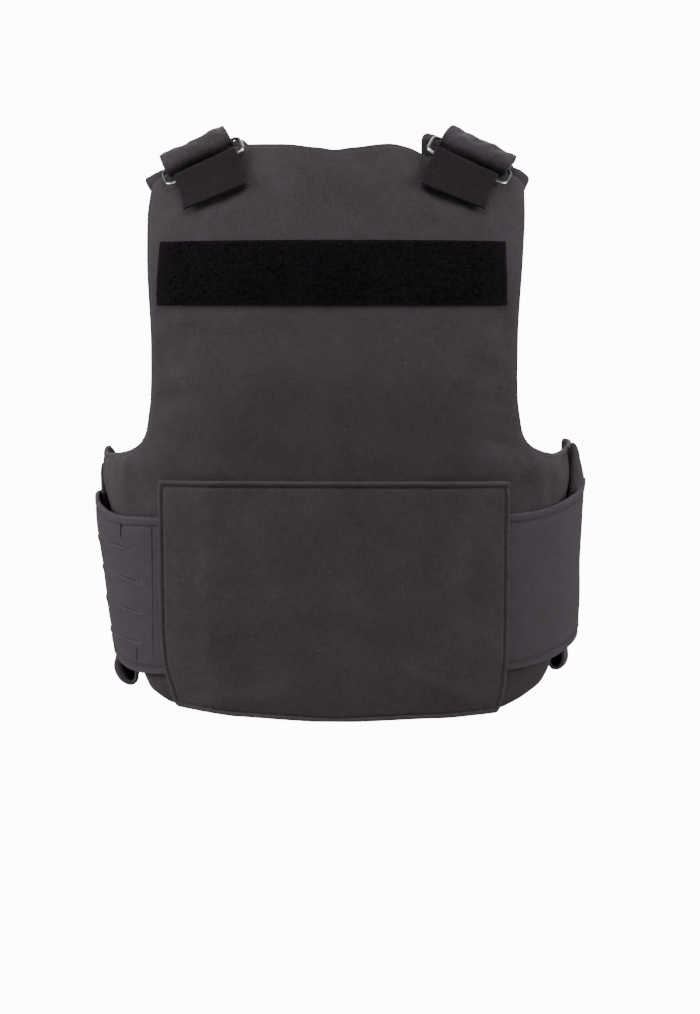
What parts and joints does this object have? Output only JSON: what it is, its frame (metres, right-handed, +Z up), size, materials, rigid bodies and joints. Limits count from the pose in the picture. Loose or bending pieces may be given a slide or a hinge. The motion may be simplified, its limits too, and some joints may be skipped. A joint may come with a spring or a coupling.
{
  "type": "tactical vest",
  "caption": "Tactical vest with padded front and back carriers, ringed shoulder straps, a loop strip, a back flap and wide side bands, in the form it has when worn.",
  "frame": {"origin": "midway between the two shoulder straps, level with where the vest rests on the wearer's shoulders", "axes": "+Z up, +X towards the wearer's right, -Y out of the back of the vest, +Y out of its front"},
  "size_m": [0.4082, 0.2427, 0.4824],
  "materials": {
    "back_cloth": "tight plain weave over soft padding, matt",
    "front_cloth": "tight plain weave over soft padding, matt",
    "loop_cloth": "brushed loop pile, very dark",
    "flap_cloth": "tight plain weave with hemmed and stitched edges",
    "band_left_cloth": "coated weave with cut slits and hemmed edges",
    "band_right_cloth": "coated weave with hemmed edges",
    "sleeve_cloth": "tight plain weave, padded fold",
    "strap_cloth": "padded strap cloth with stitched edges",
    "tab_cloth": "dense loop tape with a stitched hem",
    "ring_steel": "bright bent wire"
  },
  "bodies": {
    "root": {"back_panel": "back_cloth", "front_panel": "front_cloth", "back_loop_strip": "loop_cloth", "back_flap": "flap_cloth", "cummerbund_left": "band_left_cloth", "cummerbund_right": "band_right_cloth", "side_sleeve_left": "sleeve_cloth", "side_sleeve_right": "sleeve_cloth", "front_strap_left": "strap_cloth", "front_strap_right": "strap_cloth", "shoulder_ring_left": "ring_steel", "shoulder_ring_right": "ring_steel", "back_strap_left": "tab_cloth", "back_strap_right": "tab_cloth"}
  },
  "joints": []
}
